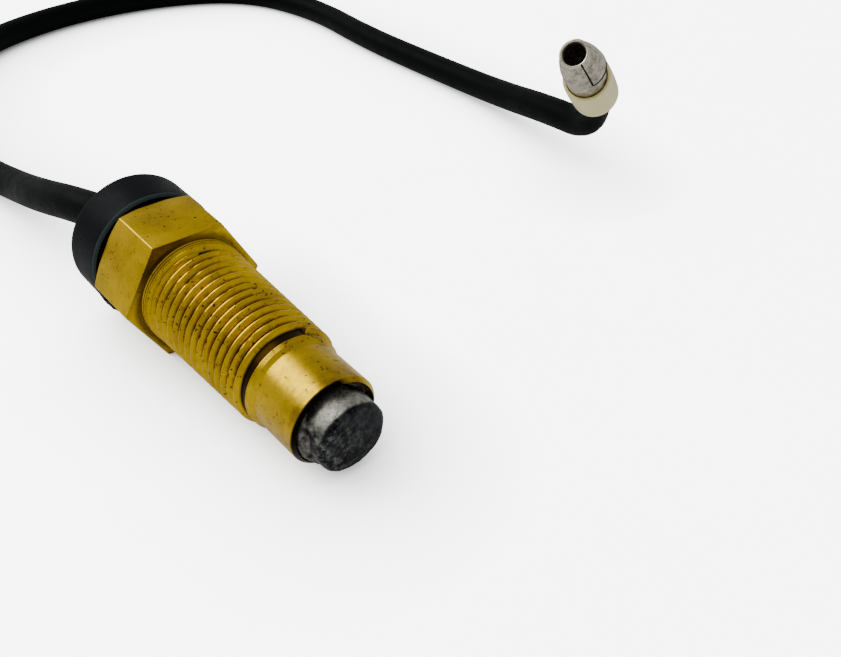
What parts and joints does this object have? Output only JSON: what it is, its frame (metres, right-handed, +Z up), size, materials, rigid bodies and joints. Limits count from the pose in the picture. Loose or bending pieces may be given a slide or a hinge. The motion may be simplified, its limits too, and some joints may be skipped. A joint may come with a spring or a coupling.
{
  "type": "screw-in thermocouple",
  "caption": "Screw-in brass thermocouple: hexagon head, tapered thread, smooth nose with a metal tip, rubber cap and a flexible lead ending in a sleeved bullet terminal.",
  "frame": {"origin": "centre of the hexagon's seat face, on the thread axis", "axes": "+X is the level direction towards the tip, +Z is up. The part lies on its side as it rests, so its thread axis dips 4.86 degrees below +X towards the tip."},
  "size_m": [0.2006, 0.1194, 0.0332],
  "materials": {
    "brass": "turned brass, dulled and specked",
    "tip_steel": "dark oxidised nickel alloy",
    "solder": "dull soft solder",
    "element_metal": "welded bead",
    "alumina": "unglazed",
    "magnesia": "packed powder",
    "inner_brass": "turned",
    "tinned_copper": "tin plated",
    "glass_fibre": "woven sleeving",
    "epoxy": "cast resin",
    "soft_rubber": "moulded",
    "washer_steel": "zinc plated",
    "copper": "stranded copper",
    "core_insulation": "silicone",
    "lead_jacket": "smooth black rubber",
    "cap_rubber": "moulded black rubber",
    "terminal_tin": "tin plated brass strip",
    "cream_sleeve": "translucent ivory PVC"
  },
  "bodies": {
    "body": {"brass_body": "brass", "tip_plug": "tip_steel", "tip_solder": "solder", "hot_junction": "element_metal", "positive_element": "element_metal", "return_element": "element_metal", "ceramic_insulator": "alumina", "magnesia_fill": "magnesia", "ground_ring": "inner_brass", "splice_ferrule": "tinned_copper", "splice_sleeve": "glass_fibre", "potting": "epoxy", "seal_washer": "soft_rubber", "retaining_washer": "washer_steel", "inner_conductor": "copper", "inner_insulation": "core_insulation", "inner_jacket": "lead_jacket", "lead": "lead_jacket", "bullet_terminal": "terminal_tin", "end_insulation": "core_insulation", "end_conductor": "copper", "contact_liner": "terminal_tin"},
    "cap": {"rubber_cap": "cap_rubber"},
    "sleeve": {"insulating_sleeve": "cream_sleeve"}
  },
  "joints": [
    {"name": "cap_slide", "type": "slide", "parent": "body", "child": "cap", "axis": [-0.9964, 0, 0.0848], "range_m": [0, 0.004]},
    {"name": "sleeve_slide", "type": "slide", "parent": "body", "child": "sleeve", "axis": [-0.3181, 0.7403, -0.5922], "range_m": [0, 0.0025]}
  ]
}
